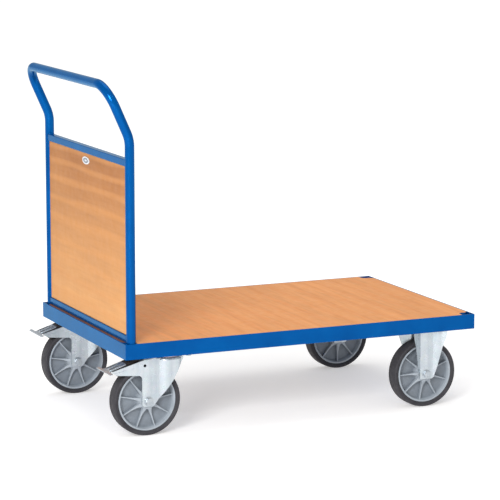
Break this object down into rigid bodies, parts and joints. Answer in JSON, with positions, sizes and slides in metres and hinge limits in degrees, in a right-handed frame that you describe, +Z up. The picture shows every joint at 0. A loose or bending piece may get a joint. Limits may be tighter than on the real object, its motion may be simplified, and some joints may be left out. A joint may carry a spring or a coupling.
{
  "type": "flatbed platform truck",
  "caption": "Platform truck: flush timber deck in a steel frame, panelled end frame with an outward-leaning tube push bar, fixed casters at the free end and braked swivel casters under the bar.",
  "frame": {"origin": "on the floor, under the middle of the overall bounding box", "axes": "+X along the platform from the push bar end towards the free end, +Y across it, +Z up"},
  "size_m": [1.1574, 0.692, 1.0054],
  "materials": {
    "blue_paint": "gloss powder coat",
    "beech_board": "satin printed beech",
    "beech_panel": "satin printed beech",
    "zinc_plate": "zinc plated",
    "zinc_yellow": "passivated zinc",
    "bolt_steel": "zinc plated",
    "bearing_steel": "plain",
    "rim_plastic": "moulded",
    "tyre_rubber": "matte",
    "brake_rubber": "matte",
    "name_plate": "satin"
  },
  "bodies": {
    "platform": {"side_rail_near": "blue_paint", "side_rail_far": "blue_paint", "end_rail_handle": "blue_paint", "end_rail_free": "blue_paint", "corner_socket_handle_near": "blue_paint", "corner_socket_handle_far": "blue_paint", "corner_socket_free_near": "blue_paint", "corner_socket_free_far": "blue_paint", "cross_member_handle": "blue_paint", "cross_member_middle": "blue_paint", "cross_member_free": "blue_paint", "deck_board": "beech_board", "handle_tube": "blue_paint", "upright_bolt_near": "bolt_steel", "upright_bolt_far": "bolt_steel", "panel_bottom_rail": "blue_paint", "panel_top_rail": "blue_paint", "end_panel": "beech_panel", "name_plate": "name_plate", "top_plate_swivel_near": "zinc_plate", "kingpin_swivel_near": "bolt_steel", "ball_race_swivel_near": "zinc_yellow", "top_plate_swivel_far": "zinc_plate", "kingpin_swivel_far": "bolt_steel", "ball_race_swivel_far": "zinc_yellow", "fixed_bracket_fixed_near": "zinc_plate", "axle_sleeve_fixed_near": "bolt_steel", "axle_bolt_fixed_near": "bolt_steel", "axle_nut_fixed_near": "bolt_steel", "fixed_bracket_fixed_far": "zinc_plate", "axle_sleeve_fixed_far": "bolt_steel", "axle_bolt_fixed_far": "bolt_steel", "axle_nut_fixed_far": "bolt_steel"},
    "swivel_near_fork": {"fork_swivel_near": "zinc_plate", "axle_sleeve_swivel_near": "bolt_steel", "axle_bolt_swivel_near": "bolt_steel", "axle_nut_swivel_near": "bolt_steel", "pedal_pin_swivel_near": "bolt_steel"},
    "swivel_near_wheel": {"wheel_rim_swivel_near": "rim_plastic", "tyre_swivel_near": "tyre_rubber", "roller_bearing_swivel_near": "bearing_steel"},
    "swivel_near_pedal": {"brake_pedal_swivel_near": "zinc_plate", "brake_shoe_swivel_near": "brake_rubber"},
    "swivel_far_fork": {"fork_swivel_far": "zinc_plate", "axle_sleeve_swivel_far": "bolt_steel", "axle_bolt_swivel_far": "bolt_steel", "axle_nut_swivel_far": "bolt_steel", "pedal_pin_swivel_far": "bolt_steel"},
    "swivel_far_wheel": {"wheel_rim_swivel_far": "rim_plastic", "tyre_swivel_far": "tyre_rubber", "roller_bearing_swivel_far": "bearing_steel"},
    "swivel_far_pedal": {"brake_pedal_swivel_far": "zinc_plate", "brake_shoe_swivel_far": "brake_rubber"},
    "fixed_near_wheel": {"wheel_rim_fixed_near": "rim_plastic", "tyre_fixed_near": "tyre_rubber", "roller_bearing_fixed_near": "bearing_steel"},
    "fixed_far_wheel": {"wheel_rim_fixed_far": "rim_plastic", "tyre_fixed_far": "tyre_rubber", "roller_bearing_fixed_far": "bearing_steel"}
  },
  "joints": [
    {"name": "swivel_near_turn", "type": "hinge", "parent": "platform", "child": "swivel_near_fork", "pos_m": [-0.37728, -0.289, 0.225], "axis": [0, 0, 1], "continuous": true},
    {"name": "swivel_near_wheel_spin", "type": "hinge", "parent": "swivel_near_fork", "child": "swivel_near_wheel", "pos_m": [-0.44327, -0.289, 0.1], "axis": [0, 1, 0], "continuous": true},
    {"name": "swivel_near_brake_press", "type": "hinge", "parent": "swivel_near_fork", "child": "swivel_near_pedal", "pos_m": [-0.49128, -0.289, 0.199], "axis": [0, 1, 0], "range_deg": [-8, 0]},
    {"name": "swivel_far_turn", "type": "hinge", "parent": "platform", "child": "swivel_far_fork", "pos_m": [-0.37728, 0.289, 0.225], "axis": [0, 0, 1], "continuous": true},
    {"name": "swivel_far_wheel_spin", "type": "hinge", "parent": "swivel_far_fork", "child": "swivel_far_wheel", "pos_m": [-0.44327, 0.289, 0.1], "axis": [0, 1, 0], "continuous": true},
    {"name": "swivel_far_brake_press", "type": "hinge", "parent": "swivel_far_fork", "child": "swivel_far_pedal", "pos_m": [-0.49128, 0.289, 0.199], "axis": [0, 1, 0], "range_deg": [-8, 0]},
    {"name": "fixed_near_wheel_spin", "type": "hinge", "parent": "platform", "child": "fixed_near_wheel", "pos_m": [0.43472, -0.289, 0.1], "axis": [0, 1, 0], "continuous": true},
    {"name": "fixed_far_wheel_spin", "type": "hinge", "parent": "platform", "child": "fixed_far_wheel", "pos_m": [0.43472, 0.289, 0.1], "axis": [0, 1, 0], "continuous": true}
  ]
}
